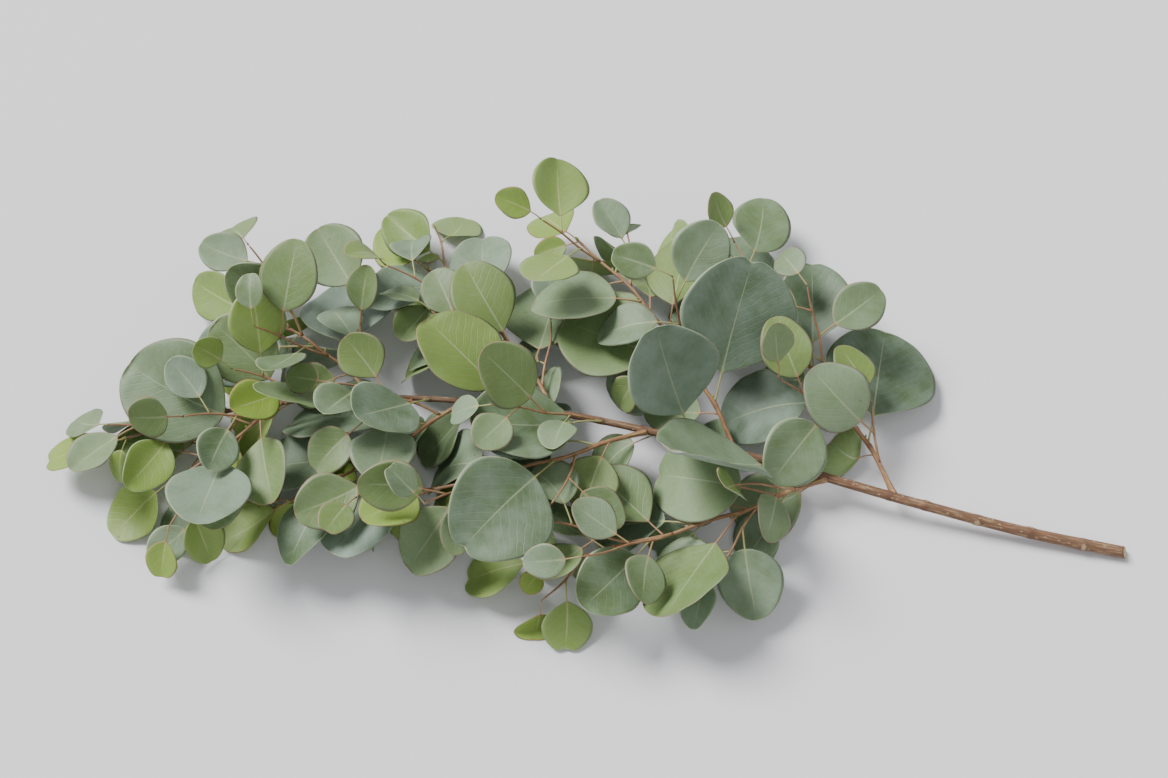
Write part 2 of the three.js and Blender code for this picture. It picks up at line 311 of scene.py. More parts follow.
def leaf_places(tree):
    """What each point of a leaf knows: its place in mm, its leaf's traits, and which side it is on."""
    place = add(tree, "Attribute", {"attribute_name": "place"}, out="Vector")
    across, along, to_edge = add(tree, "SeparateXYZ", {}, {"Vector": place}).node.outputs
    kind = add(tree, "Attribute", {"attribute_name": "kind"}, out="Vector")
    tone, hue, youth = add(tree, "SeparateXYZ", {}, {"Vector": kind}).node.outputs
    side = add(tree, "Attribute", {"attribute_name": "side"}, out="Fac")
    out = add(tree, "Math", UNSIGNED, [across])
    each = add(tree, "Math", TIMES, [tone, LEAVES_APART])
    spot = add(tree, "CombineXYZ", {}, {"X": across, "Y": along, "Z": each})
    return SimpleNamespace(
        across=across, along=along, to_edge=to_edge, out=out, spot=spot, side=side, tone=tone, hue=hue,
        youth=youth,
    )


print("patterns of two leaves whose tones are a tenth apart:", round(LEAVES_APART / 10), "mm apart")

# %% [markdown]
# A painted net of veins would repeat on every leaf. Instead, each side vein is a line on which a sum of
# `out` and `along` has the same value, so it follows the leaf's own shape. Noise makes the lines wander.

# %% Veins, rib and net
VEIN_STEP = 5.6  # mm from one side vein to the next, along the rib
VEIN_LEAN = 0.88  # mm that a side vein climbs for each mm it goes out
VEIN_BEND = 0.006  # and how much more it climbs further out, per square mm
VEIN_STAGGER = 2.4  # mm between the veins of one half of the leaf and those of the other
VEIN_WANDER = 9.0  # mm that noise moves a vein at most
RIM_VEIN = 2.0  # mm from the margin to the thin vein inside it
NET_SIZE = 2.0  # mm across a cell of the net


def leaf_veins(tree, on):
    """How much a point lies on a side vein, on the vein inside the margin, on the rib and on the net."""
    wander = add(tree, "TexNoise", {}, {"Vector": on.spot, "Scale": 1 / 17, "Detail": 1.0})
    line = add(tree, "Math", TIMES, [on.out, on.out])
    line = add(tree, "Math", TIMES_PLUS, [line, -VEIN_BEND, on.along])
    line = add(tree, "Math", TIMES_PLUS, [on.out, -VEIN_LEAN, line])
    left = add(tree, "Math", PAST, [on.across, 0.0])
    line = add(tree, "Math", TIMES_PLUS, [left, VEIN_STAGGER, line])
    line = add(tree, "Math", TIMES_PLUS, [wander, VEIN_WANDER, line])
    beat = add(tree, "Math", FRACTION, [add(tree, "Math", OVER, [line, VEIN_STEP])])
    beside = add(tree, "Math", UNSIGNED, [add(tree, "Math", MINUS, [beat, 0.5])])
    off = add(tree, "Math", TIMES, [beside, VEIN_STEP])
    by_rim = add(tree, "MapRange", SOFT_STEP, [on.to_edge, 1.6, 3.0, 1, 0])
    inside = add(tree, "Math", MINUS, [1.0, by_rim])
    side_vein = add(tree, "MapRange", SOFT_STEP, [off, 0.1, 0.55, 1, 0])
    side_vein = add(tree, "Math", TIMES, [side_vein, inside])
    from_rim = add(tree, "Math", UNSIGNED, [add(tree, "Math", MINUS, [on.to_edge, RIM_VEIN])])
    rim_vein = add(tree, "MapRange", SOFT_STEP, [from_rim, 0.1, 0.5, 1, 0])

    half_width = add(tree, "Math", TIMES_PLUS, [on.along, -0.012, 0.85])
    half_width = add(tree, "Math", LARGER, [half_width, 0.3])
    rib = add(tree, "Math", OVER, [on.out, half_width])
    rib = add(tree, "MapRange", SOFT_STEP, [rib, 0.35, 1.0, 1, 0])
    outer = add(tree, "MapRange", SOFT_STEP, [on.to_edge, 2.0, 14.0, 1, 0])
    middle = add(tree, "Math", MINUS, [1.0, outer])
    near_foot = add(tree, "MapRange", SOFT_STEP, [on.along, 2.0, 14.0, 1, 0])
    shown = add(tree, "Math", LARGER, [middle, near_foot])
    rib = add(tree, "Math", TIMES, [rib, shown])
    cells = {"Vector": on.spot, "Scale": 1 / NET_SIZE}
    cell = add(tree, "TexVoronoi", {"feature": "DISTANCE_TO_EDGE"}, cells, "Distance")
    net = add(tree, "MapRange", SOFT_STEP, [cell, 0.02, 0.13, 1, 0])
    return SimpleNamespace(side=side_vein, rim=rim_vein, rib=rib, net=net)


print("a side vein's angle to the rib in degrees:", round(math.degrees(math.atan2(1, VEIN_LEAN))))

# %% [markdown]
# The colour is built from the plainest layer up: green under wax, then the leaf's own warmth and youth,
# then veins, rib and margin, then the few brown specks. Last comes the stalk, which has a colour of its
# own and blends into the foot of the blade.


# %% The colour of a leaf
WAX_PATCH = 15  # mm, and so are the next two
FLECK = 2.6
SPECK_STEP = 13


def leaf_colour(tree, on, vein, paint):
    """The colour of a leaf, how thick its wax is, its fine unevenness and all its veins together."""
    cloud = {"Vector": on.spot, "Scale": 1 / WAX_PATCH, "Detail": 3.0, "Roughness": 0.6}
    cloud = add(tree, "TexNoise", {}, cloud)
    fleck = {"Vector": on.spot, "Scale": 1 / FLECK, "Detail": 3.0, "Roughness": 0.65}
    fleck = add(tree, "TexNoise", {}, fleck)
    wax = add(tree, "Math", TIMES_PLUS, [on.tone, 0.55, cloud])
    wax = add(tree, "MapRange", {}, {"Value": wax, "From Min": 0.35, "From Max": 1.05})
    warmth = add(tree, "Math", POWER, [on.hue, 2.2])
    face = painted(
        tree, add(tree, "Mix", LAYER, [wax, paint["green"], paint["bloom"]]),
        (warmth, 0.95, paint["warm"]), (on.youth, 0.8, paint["fresh"]), (fleck, 0.32, paint["deep"]),
        (vein.net, 0.07, paint["vein"]),
    )
    under = painted(
        tree, add(tree, "Mix", LAYER, [wax, paint["under"], paint["under_bloom"]]),
        (on.youth, 0.6, paint["fresh"]), (vein.net, 0.1, paint["green"]),
    )
    faint = add(tree, "Math", TIMES, [vein.rim, 0.1])
    veins = add(tree, "Math", LARGER, [add(tree, "Math", TIMES, [vein.side, 0.15]), faint])
    colour = add(tree, "Mix", LAYER, [on.side, under, face])
    colour = add(tree, "Mix", LAYER, [veins, colour, paint["vein"]])

    pinkish = add(tree, "MapRange", SOFT_STEP, [on.hue, 0.35, 0.65, 1, 0])
    rim = add(tree, "Mix", LAYER, [pinkish, paint["rim_pink"], paint["rim_pale"]])
    at_rim = add(tree, "MapRange", SOFT_STEP, [on.to_edge, 0.35, 0.8, 1, 0])
    sparse = {"Vector": on.spot, "Scale": 1 / SPECK_STEP, "Randomness": 1.0}
    sparse = add(tree, "TexVoronoi", {}, sparse, "Distance")
    ragged = add(tree, "Math", TIMES_PLUS, [fleck, 0.09, sparse])
    speck = add(tree, "MapRange", SOFT_STEP, [ragged, 0.075, 0.105, 1, 0])
    patches = add(tree, "TexNoise", {}, {"Vector": on.spot, "Scale": 1 / 30, "Detail": 0.0})
    speck = add(tree, "Math", TIMES, [speck, add(tree, "Math", PAST, [patches, 0.56])])
    colour = painted(
        tree, colour, (vein.rib, 0.62, paint["rib"]), (at_rim, 0.8, rim), (speck, 0.8, paint["speck"]),
    )

    pink_stalk = add(tree, "MapRange", SOFT_STEP, [on.hue, 0.2, 0.8, 1, 0])
    stalk = add(tree, "Mix", LAYER, [pink_stalk, paint["stalk_pink"], paint["stalk"]])
    uneven = add(tree, "TexNoise", {}, {"Vector": on.spot, "Scale": 1 / 4.0})
    stalk = painted(tree, stalk, (uneven, 0.35, paint["rib"]))
    from_stalk = add(tree, "Math", PLUS, [on.along, add(tree, "Math", TIMES, [on.out, 1.5])])
    in_stalk = add(tree, "MapRange", SOFT_STEP, [from_stalk, -1.0, 5.0, 1, 0])
    return add(tree, "Mix", LAYER, [in_stalk, colour, stalk]), wax, fleck, veins


print("patches of wax are", round(WAX_PATCH / FLECK, 1), "times as wide as the fine flecks")

# %% [markdown]
# Plant wax and cell walls have an IOR near 1.45. The blade is satin: its roughness runs from 0.42 where
# the wax is thin to 0.56 where it is thick, and is a little lower on young leaves. Veins and net are
# pressed in by a bump, because relief that fine would need far more faces. A share of translucent shader
# is mixed in, because a leaf with light behind it glows yellow-green.

# %% The leaf material
PLANT_IOR = 1.45
WAX_DULLS = 0.14  # added to the roughness where the wax is thickest


def leaf_skin(name, colours, roughness, light_through):
    """A leaf's material. colours are named hex values; light_through is the share of light let by."""
    material, tree = new_material(name)
    paint = {part: linear(value) for part, value in colours.items()}
    on = leaf_places(tree)
    vein = leaf_veins(tree, on)
    colour, wax, fleck, veins = leaf_colour(tree, on, vein, paint)
    relief = add(tree, "Math", TIMES, [vein.net, -0.16])
    relief = add(tree, "Math", TIMES_PLUS, [vein.side, -0.5, relief])
    relief = add(tree, "Math", TIMES_PLUS, [fleck, 0.12, relief])
    bump = add(tree, "Bump", {}, {"Height": relief, "Strength": 0.5, "Distance": 0.25 * MM})
    dull = add(tree, "Math", TIMES_PLUS, [wax, WAX_DULLS, roughness])
    finish = {"Base Color": colour, "Roughness": dull, "IOR": PLANT_IOR, "Normal": bump}
    skin = add(tree, "BsdfPrincipled", {}, finish)
    opaque = add(tree, "Math", LARGER, [veins, vein.rib])
    glow = add(tree, "Mix", LAYER, [opaque, paint["glow"], paint["rib"]])
    through = add(tree, "BsdfTranslucent", {}, {"Color": glow, "Normal": bump})
    mix = add(tree, "MixShader", {}, [light_through, skin, through])
    add(tree, "OutputMaterial", {}, {"Surface": mix})
    return material


grown_leaf_colours = {
    "green": "#4F6446", "bloom": "#90A397", "warm": "#7D9642", "fresh": "#93AB55", "deep": "#3B4B34",
    "vein": "#98A884", "rib": "#ACB88E", "under": "#9AAA98", "under_bloom": "#BAC6BC",
    "rim_pink": "#A6846A", "rim_pale": "#B4BE94", "speck": "#6E5436", "stalk": "#ADAB6C",
    "stalk_pink": "#AE7658", "glow": "#9BB838",
}
young_leaf_colours = {
    **grown_leaf_colours, "green": "#7A9648", "bloom": "#97AA7E", "warm": "#94B044", "fresh": "#A0BC4C",
    "deep": "#6B8548", "vein": "#B6C587", "rib": "#C3CC8C", "under": "#9CAD7D",
    "under_bloom": "#A8B68F", "rim_pink": "#B57F56", "glow": "#A5C340",
}
grown_leaf = leaf_skin("waxy_eucalyptus_leaf", grown_leaf_colours, 0.42, 0.18)
young_leaf = leaf_skin("soft_young_leaf", young_leaf_colours, 0.38, 0.28)
skin_of = {"leaf": grown_leaf, "young_leaf": young_leaf}
print("leaf nodes:", len(grown_leaf.node_tree.nodes))

# %% [markdown]
# ## Bark: thin, smooth and streaked
#
# The stem and the shoots have young bark. It is tan to reddish brown, a little waxy, and streaked
# along its length in lines 0.3 to 0.6 mm wide. Small pale corky dots, the lenticels, sit on the older
# wood. Round each joint the bark is darker and redder, and the old leaf scars are pale. Streaks need
# a pattern that is long one way, so the noise is read from a place whose length is squeezed. Bark is
# duller than a leaf: its roughness is 0.6 to 0.75 on the woody stem and 0.5 to 0.65 on the shoots, which
# keep some wax.


# %% The bark material
STREAK_WIDTH = 0.8  # mm across one dark and one light streak
STREAK_SQUEEZE = 0.07  # of the length is kept, which makes a streak 14 times as long as it is wide
DOT_STEP = 2.4  # mm from one corky dot to the next


def bark_skin(name, colours, roughness, dots):
    """Young bark. dots is how strongly the pale corky dots show."""
    material, tree = new_material(name)
    place = add(tree, "Attribute", {"attribute_name": "place"}, out="Vector")
    kind = add(tree, "Attribute", {"attribute_name": "kind"}, out="Vector")
    joint, scar, age = add(tree, "SeparateXYZ", {}, {"Vector": kind}).node.outputs
    paint = {part: linear(value) for part, value in colours.items()}
    long_way = add(tree, "VectorMath", {"operation": "MULTIPLY"}, [place, (1.0, 1.0, STREAK_SQUEEZE)])
    streak = {"Vector": long_way, "Scale": 1 / STREAK_WIDTH, "Detail": 3.0, "Roughness": 0.6}
    streak = add(tree, "TexNoise", {}, streak)
    patch = add(tree, "TexNoise", {}, {"Vector": place, "Scale": 1 / 9.0, "Detail": 3.0, "Roughness": 0.6})
    stretch = add(tree, "VectorMath", {"operation": "MULTIPLY"}, [place, (1.0, 1.0, 0.45)])
    dot = add(tree, "TexVoronoi", {}, {"Vector": stretch, "Scale": 1 / DOT_STEP}, "Distance")
    lenticel = add(tree, "MapRange", SOFT_STEP, [dot, 0.1, 0.2, 1, 0])
    reddish = add(tree, "MapRange", SOFT_STEP, [patch, 0.62, 0.4, 1, 0])
    colour = add(tree, "Mix", LAYER, [reddish, paint["tan"], paint["red"]])
    older = add(tree, "MapRange", SOFT_STEP, [age, 0.9, 0.2, 1, 0])
    colour = add(tree, "Mix", LAYER, [older, colour, paint["old"]])
    dark = add(tree, "MapRange", SOFT_STEP, [streak, 0.55, 0.35, 1, 0])
    colour = add(tree, "Mix", LAYER, [dark, colour, paint["streak"]])
    colour = painted(tree, colour, (joint, 0.6, paint["joint"]), (lenticel, dots, paint["dot"]))
    colour = add(tree, "Mix", LAYER, [scar, colour, paint["scar"]])
    relief = add(tree, "Math", TIMES, [streak, 0.9])
    relief = add(tree, "Math", TIMES_PLUS, [lenticel, dots, relief])
    bump = add(tree, "Bump", {}, {"Height": relief, "Strength": 0.7, "Distance": 0.3 * MM})
    dull = add(tree, "Math", TIMES_PLUS, [streak, 0.2, roughness])
    finish = {"Base Color": colour, "Roughness": dull, "IOR": PLANT_IOR, "Normal": bump}
    skin = add(tree, "BsdfPrincipled", {}, finish)
    add(tree, "OutputMaterial", {}, {"Surface": skin})
    return material


stem_bark = bark_skin(
    "smooth_stem_bark",
    {"tan": "#A08463", "red": "#8A6247", "old": "#84705A", "streak": "#6B4F3A", "joint": "#5F4030",
     "dot": "#B9A283", "scar": "#AD9572"},
    0.58,
    0.75,
)
shoot_bark = bark_skin(
    "waxy_shoot_bark",
    {"tan": "#B79D6C", "red": "#A67C5C", "old": "#9A7B5C", "streak": "#8C6749", "joint": "#84573F",
     "dot": "#C9B186", "scar": "#C4AE86"},
    0.46,
    0.3,
)
print("bark nodes:", len(stem_bark.node_tree.nodes))

# %% [markdown]
# ## Stem and shoots: tubes with joints
#
# A twig isn't a plain rod. It swells at each joint, most of all on the side where a leaf or a shoot
# leaves it, so that the foot of the leaf sits in a small collar. A tube is made by carrying a circle
# along the smooth centre line without letting it spin, and the swellings push its points outwards.
# Its own collar also closes the hair gap that the solids keep between each other.


# %% A tube with swellings
def tube(centres, radii, sides, swellings, sample=1.2 * MM, blunt=True, slant=0.0):
    """A round tube. A swelling is where it is along the tube, its way out, height, length and scar.

    A blunt tube is rounded at its tip. slant leans the cut at its foot."""
    reach = distance_along(centres)
    at = np.linspace(0, reach[-1], max(8, int(reach[-1] / sample)))
    line, radius = smooth(reach, centres, at), np.interp(at, reach, radii)
    ahead = unit(np.gradient(line, axis=0))
    normal = unit(np.cross(ahead[0], [0.3, 0.2, 1.0]))
    circle = np.linspace(0, 2 * math.pi, sides, endpoint=False)
    points, places, kinds = [], [], []
    for i, centre in enumerate(line):
        normal = unit(normal - ahead[i] * np.dot(normal, ahead[i]))
        other = np.cross(ahead[i], normal)
        out = np.outer(np.cos(circle), normal) + np.outer(np.sin(circle), other)
        push, joint, scar = np.zeros(sides), np.zeros(sides), np.zeros(sides)
        for where, way, height, length, scarred in swellings:
            nearness = math.exp(-(((at[i] - where) / length) ** 2))
            facing = np.clip(out @ way, 0, 1)
            push += height * nearness * (0.25 + 0.75 * facing**1.5)
            joint = np.maximum(joint, nearness)
            scar = np.maximum(scar, scarred * ease(0.5, 0.75, nearness * facing**3))
        end = min(1.0, math.sqrt(max(0.0, 1 - (1 - (reach[-1] - at[i]) / radius[i]) ** 2)) + 0.1)
        if reach[-1] - at[i] > radius[i] or not blunt:
            end = 1.0
        ring = centre + out * ((radius[i] + push) * end)[:, None]
        lean = slant * (out[:, 2] + 1) * radius[0] * max(0.0, 1 - at[i] / (9 * MM))
        points.append(ring + ahead[i] * lean[:, None])
        flat = np.column_stack([np.cos(circle) * radius[i], np.sin(circle) * radius[i]]) / MM
        places.append(np.column_stack([flat, np.full(sides, at[i] / MM)]))
        kinds.append(np.column_stack([joint, scar, np.full(sides, at[i] / reach[-1])]))
    rows = len(line)
    faces = quads(rows, sides)
    faces.append(list(reversed(range(sides))))
    faces.append([(rows - 1) * sides + k for k in range(sides)])
    points = np.concatenate(points)
    return {
        "points": points, "faces": faces, "place": np.concatenate(places), "kind": np.concatenate(kinds),
        "side": np.ones(len(points)),
    }


def nearest_on(centres, point):
    """How far along a line it comes nearest to a point, and the way from there to the point."""
    reach = distance_along(centres)
    at = np.linspace(0, reach[-1], 600)
    line = smooth(reach, centres, at)
    i = int(np.argmin(np.linalg.norm(line - point, axis=1)))
    return at[i], unit(point - line[i])


tip_at, _ = nearest_on(stem_rings.mean(axis=1), stem_end)
print("the stem's tip is this many mm along it:", round(tip_at / MM))

# %% [markdown]
# ## Reading each leaf and each rod
#
# A leaf's solid has five rings for its stalk and nine for its blade, of eight points each. A point lies
# on either edge, three above and three below. The middles between those above and those below, with the
# two edge points, give five lines that say how the blade bends from edge to edge. That is enough to draw
# a finer blade in the same place.

# %% Read every leaf's five lines
STALK_RINGS = 4
KNOTS = [*range(14), 13.5]  # the rings' places along a leaf, and half a ring more for the tip
STATIONS = np.array([1, math.sqrt(0.5), 0, -math.sqrt(0.5), -1])


def leaf_lines(name):
    """Five lines from a leaf's foot to its tip: its left edge, halfway, its middle, halfway, its right."""
    rings, tip = rings_of(name, wide_foot=False)
    blade = rings[STALK_RINGS + 1 :]
    widths = [np.linalg.norm(blade[:, s] - blade[:, s + 4], axis=1).sum() for s in range(4)]
    rings = np.roll(rings, -int(np.argmax(widths)), axis=1)
    blade = rings[STALK_RINGS + 1 :]
    hollow = (blade[:, 0] + blade[:, 4] - blade[:, 2] - blade[:, 6]) * (blade[:, 2] - blade[:, 6])
    if hollow.sum() < 0:
        rings = np.roll(rings, -4, axis=1)
    pairs = [(0, 0), (1, 7), (2, 6), (3, 5), (4, 4)]
    lines = np.stack([(rings[:, a] + rings[:, b]) / 2 for a, b in pairs], axis=1)
    return np.concatenate([lines, np.broadcast_to(tip, (1, 5, 3))])


leaf_names = [name for name in slot_of if name.startswith("leaf_")]
lines_of = {name: leaf_lines(name) for name in leaf_names}
print("leaves read:", len(lines_of))

# %% [markdown]
# A rod needs only the middle of each of its rings and its thickness there. Where a leaf or a shoot has
# its foot is kept as well, because the bark swells there.

# %% Read the stem and the shoots
rods = {}


def rod_lines(name):
    """A rod's centre line and its thickness."""
    rings, _ = rings_of(name, wide_foot=True)
    centres = rings.mean(axis=1)
    radii = np.linalg.norm(rings - centres[:, None], axis=2).mean(axis=1)
    return centres, radii


for name in slot_of:
    if not name.startswith("leaf_"):
        rods[name] = rod_lines(name)
stem_centres, stem_radii = rods["stem"]
stem_radii[0] = stem_radii[1] * 1.01  # the cut end is a little thicker than the stem just above it
foot_of = {name: lines[0, 2] for name, lines in lines_of.items()}
foot_of.update({name: rods[name][0][0] for name in rods if name != "stem"})
print("shoots:", len(rods) - 1, "stem radius at the cut in mm:", round(stem_radii[0] / MM, 2))


def swellings_of(name):
    """Where things grow out of a rod."""
    number = name.split("_")[-1]
    begins = ("leaf_stem_", "shoot_") if name == "stem" else (f"leaf_{number}_",)
    radius = rods[name][1].mean()
    found = []
    for grown, foot in foot_of.items():
        if grown.startswith(begins):
            where, way = nearest_on(rods[name][0], foot)
            size = 0.55 if grown.startswith("shoot_") else 0.42
            found.append((where, way, size * MM + 0.12 * radius, 2.2 * MM, 0.0))
    return found


# %% [markdown]
# The lower stem is bare, because a florist strips its leaves off. Each stripped leaf leaves a joint
# with a pale scar, left and right by turns, about 30 mm apart. A shoot's foot is carried on into the
# stem and widened there, so that the two grow into each other without a visible end.

# %% Grow the stem and the shoots
FIRST_SCAR, SCAR_STEP = 26, 31  # mm from the cut, and from one scar to the next
STEM_SIDES = 28
CUT_SLANT = 0.55
scars = []
for i in range(4):
    angle = math.radians(35 if i % 2 else 150)
    way = np.array([0, math.cos(angle), math.sin(angle)])
    scars.append(((FIRST_SCAR + SCAR_STEP * i) * MM, way, 0.7 * MM, 2.1 * MM, 1.0))
swollen = swellings_of("stem") + scars
stem_shape = tube(stem_centres, stem_radii, STEM_SIDES, swollen, blunt=False, slant=CUT_SLANT)
make_piece("stem_wood", stem_shape, stem_bark, "stem_bark", "stem")
built = {"stem": stem_shape}
for name in [n for n in rods if n != "stem"]:
    centres, radii = rods[name]
    ahead = unit(centres[1] - centres[0])
    where, out = nearest_on(stem_centres, centres[0])
    inside = smooth(distance_along(stem_centres), stem_centres, [where])[0]
    deep = 0.75 * np.linalg.norm(centres[0] - inside) / max(0.5, float(ahead @ out))
    line = np.concatenate([[centres[0] - ahead * deep], centres[:1] + ahead * 0.5 * MM, centres[1:]])
    thickness = np.concatenate([[radii[0] * 1.6, radii[0] * 1.25], radii[1:]])
    shape = tube(line, thickness, 16, swellings_of(name))
    make_piece(name.replace("shoot", "side_shoot"), shape, shoot_bark, "shoot_bark", name)
    built[name] = shape
print("wood points:", sum(len(shape["points"]) for shape in built.values()))

# %% [markdown]
# ## Leaves: one closed skin for blade and stalk
#
# A leaf could be a flat sheet given a thickness by a modifier, but the stalk has to run into the blade
# without a seam, and the rib has to stand out below. So the skin is lofted: each row across the leaf is
# a closed ring, round in the stalk and a thin plate in the blade, and the rib is a ridge on its lower
# half. The middle line comes from the solid, and the way a blade bends across comes from a curve
# through its five lines. A real margin is never quite even, so it waves up and down, and some tips
# are notched.

# %% Loft a leaf
HALF_COLUMNS = 10
BLADE_RINGS = 9.5
BLADE_HALF = 0.17 * MM  # half the thickness of a blade


def station_weights(u):
    """How much each of the five lines counts at a place across the leaf, from 1 left to -1 right."""
    weights = np.ones(u.shape + (5,))
    for k, own in enumerate(STATIONS):
        for other in np.delete(STATIONS, k):
            weights[..., k] *= (u - other) / (own - other)
    return weights


def blade_columns(half, in_blade, count):
    """Where the columns of a row are, from the left edge to the right, as shares of its half width."""
    step = np.arange(count + 1) / count
    fixed = np.array([0, 0.4, 0.9, 1.7])[: min(4, count)] * MM
    reach = half[:, None] * step[None]
    inner = len(fixed)
    reach[:, :inner] = np.minimum(fixed, reach[:, :inner])
    rest = (np.arange(inner, count + 1) - inner + 1) / (count + 1 - inner)
    last = reach[:, inner - 1 : inner]
    reach[:, inner:] = last + (half[:, None] - last) * (1 - (1 - rest) ** 1.35)
    plate = reach / half[:, None]
    circle = np.sin(step * math.pi / 2)[None]
    share = circle + (plate - circle) * in_blade[:, None]
    return np.concatenate([share[:, ::-1], -share[:, 1:]], axis=1)


def loft_leaf(lines, trait, waves=1.0, rows=(9, 36), columns=HALF_COLUMNS, swell=0.0):
    """The skin of a leaf. trait holds its numbers from 0 to 1; waves scales the margin's waves."""
    reach = distance_along(lines[:, 2])
    foot, length = reach[STALK_RINGS], reach[-1] - reach[STALK_RINGS]
    stalk_at = np.linspace(0, foot, rows[0], endpoint=False)
    ring = np.linspace(0, BLADE_RINGS, rows[1] + 1)
    share = (1 - np.cos(math.pi * ring / BLADE_RINGS)) / 2
    at = np.concatenate([stalk_at, foot + share * length])
    share = np.concatenate([np.zeros(rows[0]), share])
    blade_part = np.concatenate([np.zeros(rows[0], bool), np.ones(rows[1] + 1, bool)])
    middle = smooth(reach, lines[:, 2], at)
    left = unit(smooth(reach[:-1], unit(lines[:-1, 0] - lines[:-1, 4]), np.minimum(at, reach[-2])))
    offsets = left[:, None, :] * STATIONS[None, :, None]
    own = lines[STALK_RINGS:] - lines[STALK_RINGS:, 2:3]
    offsets[rows[0] :] = smooth(KNOTS[STALK_RINGS:], own, STALK_RINGS + ring)
    half = np.where(blade_part, np.linalg.norm(offsets[:, 0] - offsets[:, 4], axis=1) / 2, 0)

    size = min(1.0, length / (60 * MM)) ** 0.5
    thin = (0.5 + 0.16 * trait["tone"]) * size * MM
    stalk = thin + 0.4 * size * MM * np.exp(-at / (1.7 * MM))
    small = half < stalk
    scale = np.where(small, stalk / np.maximum(half, 1e-9), 1)
    offsets = offsets * np.where(blade_part, scale, stalk)[:, None, None]
    half = np.maximum(half, stalk)
    flare = ease(0, 5 * MM, at - foot)
    end = at > foot + 0.9999 * length
    half[end] = 1e-6

    u = blade_columns(half, ease(0, 2.5 * MM, at - foot), columns)
    grid = middle[:, None] + np.einsum("rck,rkx->rcx", station_weights(u), offsets)
    turn = unit(np.cross(np.gradient(grid, axis=0), -np.gradient(grid, axis=1)))
    turn[end] = turn[np.flatnonzero(end)[0] - 1]

    phase = 6.28 * np.array([trait["tone"], trait["hue"], trait["wave"]])
    swing = np.where(u > 0, np.sin(share[:, None] * 9.5 + phase[0]), np.sin(share[:, None] * 8 + phase[1]))
    ripple = np.where(u > 0, np.sin(share[:, None] * 21 + phase[1]), np.sin(share[:, None] * 24 + phase[2]))
    room = np.clip((grid[..., 2] - 0.6 * MM) / (5 * MM), 0, 1)
    tall = length / 60 * waves * room * np.sin(math.pi * share)[:, None] ** 0.7
    lift = (0.2 + 1.25 * trait["wave"]) * tall * np.abs(u) ** 2.6 * swing
    lift = lift + 0.3 * tall * np.abs(u) ** 5 * ripple
    grid = grid + turn * lift[..., None]
    across = u * half[:, None]
    ahead = unit(np.gradient(middle, axis=0))
    notch = max(0.0, trait["notch"] - 0.62) * 8 * MM * size
    pull = notch * np.exp(-((across / (3.6 * MM)) ** 2)) * ease(0.8, 1, share)[:, None]
    grid -= ahead[:, None] * pull[..., None]
    turn = unit(np.cross(np.gradient(grid, axis=0), -np.gradient(grid, axis=1)))
    turn[end] = turn[np.flatnonzero(end)[0] - 1]

    plate = stalk + (BLADE_HALF - stalk) * flare + swell
    power = 2 + 8 * flare
    body = plate[:, None] * np.sqrt(np.clip(1 - np.abs(u) ** power[:, None], 0, 1))
    rib_wide = (0.55 - 0.3 * share)[:, None] * size * MM
    rib_tall = (0.6 * flare * (1 - share) ** 0.8 + 0.05)[:, None] * blade_part[:, None] * size * MM
    ridge = rib_tall * np.exp(-((across / rib_wide) ** 2)) * (np.abs(u) < 0.999)
    upper = grid + turn * (body - 0.12 * ridge)[..., None]
    lower = grid - turn * (body + ridge)[..., None]
    rings = np.concatenate([upper, lower[:, -2:0:-1]], axis=1)
    rings[..., 2] = np.maximum(rings[..., 2], 0.04 * MM)

    edge = np.minimum(half[:, None] * (1 - np.abs(u)), np.maximum(reach[-1] - at, 0)[:, None])
    place = np.stack([across, np.broadcast_to((at - foot)[:, None], u.shape), edge], axis=2) / MM
    place = np.concatenate([place, place[:, -2:0:-1]], axis=1)
    side = np.concatenate([np.ones_like(u), np.zeros_like(u[:, -2:0:-1])], axis=1)
    side[:, [0, u.shape[1] - 1]] = 0.5
    kind = np.broadcast_to([trait["tone"], trait["hue"], trait["youth"]], place.shape)
    return as_skin(rings[:-1], rings[-1, 0], place, kind, side)


def as_skin(rings, tip, place, kind, side):
    """Rings of points closed into a skin, with a flat foot and a point at the tip."""
    count, around = rings.shape[:2]
    faces = quads(count, around)
    faces.append(list(reversed(range(around))))
    last = count * around
    faces += [[last - around + k, last - around + (k + 1) % around, last] for k in range(around)]
    shape = {"points": np.concatenate([rings.reshape(-1, 3), tip[None]]), "faces": faces}
    for mark, values in (("place", place), ("kind", kind), ("side", side)):
        flat = values[:-1].reshape(count * around, -1)
        shape[mark] = np.concatenate([flat, values[-1].reshape(around, -1)[:1]])
    return shape


print("a blade is", round(2 * BLADE_HALF / MM, 2), "mm thick")

# %% [markdown]
# No two leaves are alike, so each one draws its own tone, hue, waves and notch from a seeded source,
# and gets the same ones every time. Where a waving margin would touch a neighbour, the leaf is made
# again with its waves laid flatter.

# %% Grow the leaves of the solids
LEAF_SEED = 11
FOOT_DEPTH = 1.3 * MM
crowd = []


def as_body(shape):
    """A shape as its box and a search tree, to find overlaps fast."""
    points = shape["points"]
    return points.min(axis=0), points.max(axis=0), BVHTree.FromPolygons(points.tolist(), shape["faces"])


def touches(body, others):
    """Whether a body runs into any of the others."""
    if not others:
        return False
    low, high, tree = body
    lows, highs = np.array([other[0] for other in others]), np.array([other[1] for other in others])
    close = np.flatnonzero(np.all(low < highs, axis=1) & np.all(high > lows, axis=1))
    return any(tree.overlap(others[i][2]) for i in close)


def traits(rng, youth):
    """A leaf's own numbers."""
    drawn = {trait: rng.random() for trait in ("tone", "hue", "wave", "notch")}
    return {**drawn, "youth": youth}


